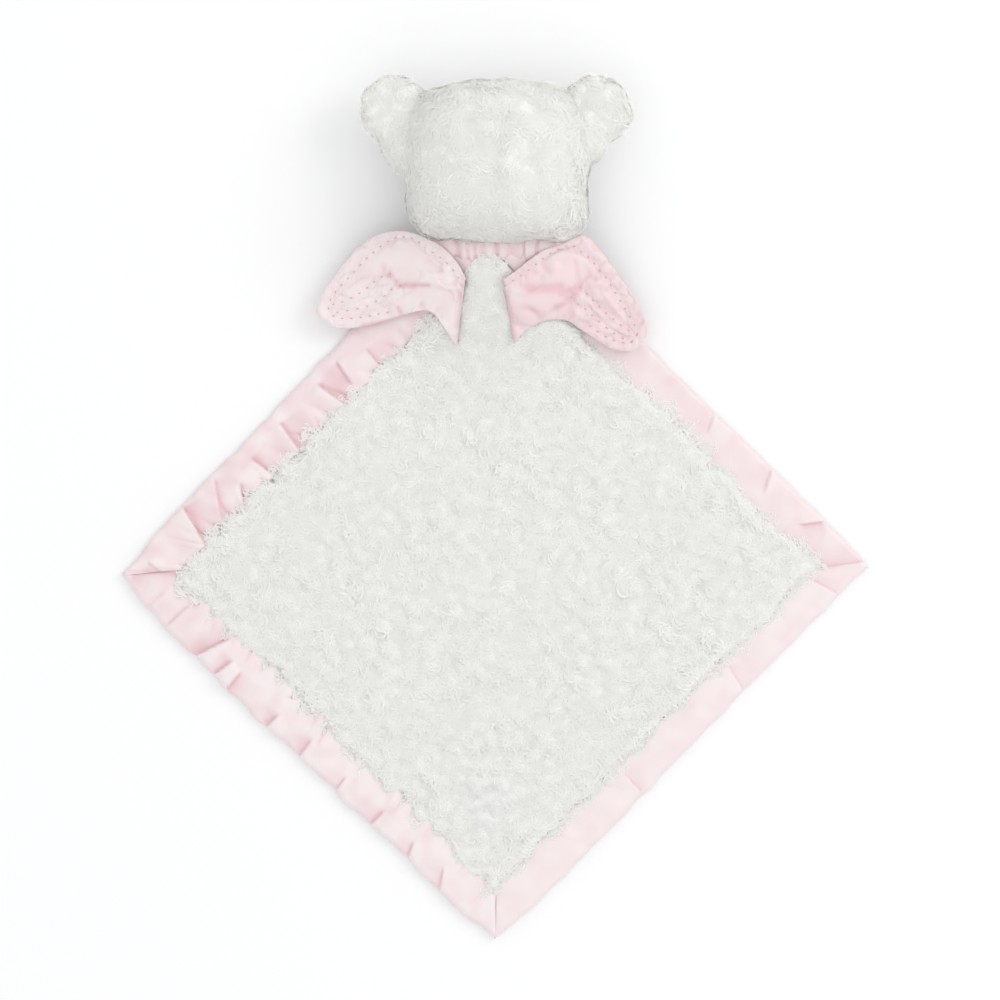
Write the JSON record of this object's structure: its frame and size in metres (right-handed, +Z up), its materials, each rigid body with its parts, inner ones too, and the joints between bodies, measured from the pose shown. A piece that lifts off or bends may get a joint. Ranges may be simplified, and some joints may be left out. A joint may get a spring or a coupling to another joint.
{
  "type": "comfort blanket lovey",
  "caption": "Square plush comfort blanket bound in puckered satin, with a stuffed bear head at one corner and padded satin wings on its back.",
  "frame": {"origin": "middle of the blanket square, on the surface that the lovey lies on", "axes": "+X across the blanket to the right as it is seen from behind, +Y towards the crown of the head, +Z up out of the wings; it lies face down"},
  "size_m": [0.4664, 0.5451, 0.0751],
  "materials": {
    "white_plush": "curly short-pile polyester plush, matt, cream white",
    "pink_satin": "pale pink polyester satin, soft lustre, puckered along its seams",
    "polyester_stuffing": "white polyester fibre fill and wadding, hidden inside",
    "nose_thread": "satin-stitched embroidery thread, dusky pink",
    "eye_thread": "satin-stitched embroidery thread, dark brown"
  },
  "bodies": {
    "blanket": {"blanket_back_panel": "white_plush", "blanket_front_panel": "white_plush", "binding_upper_right": "pink_satin", "binding_upper_left": "pink_satin", "binding_lower_left": "pink_satin", "binding_lower_right": "pink_satin", "neck_gather": "pink_satin"},
    "head": {"head_back_panel": "white_plush", "head_face_panel": "white_plush", "head_stuffing": "polyester_stuffing", "ear_left_back": "white_plush", "ear_left_front": "white_plush", "ear_right_back": "white_plush", "ear_right_front": "white_plush", "muzzle": "white_plush", "nose": "nose_thread", "eye_left": "eye_thread", "eye_right": "eye_thread"},
    "wing_left": {"wing_left_under": "pink_satin", "wing_left_wadding": "polyester_stuffing", "wing_left_top": "pink_satin"},
    "wing_right": {"wing_right_under": "pink_satin", "wing_right_wadding": "polyester_stuffing", "wing_right_top": "pink_satin"}
  },
  "joints": [
    {"name": "head_nod", "type": "hinge", "parent": "blanket", "child": "head", "pos_m": [0, 0.20534, 0.031], "axis": [1, 0, 0], "range_deg": [-60, 45]},
    {"name": "wing_left_flap", "type": "hinge", "parent": "blanket", "child": "wing_left", "pos_m": [-0.0239, 0.14155, 0.01666], "axis": [0.135, 0.9037, 0.4064], "range_deg": [0, 70]},
    {"name": "wing_right_flap", "type": "hinge", "parent": "blanket", "child": "wing_right", "pos_m": [0.0109, 0.14155, 0.01869], "axis": [0.135, -0.9037, -0.4063], "range_deg": [0, 70]}
  ]
}
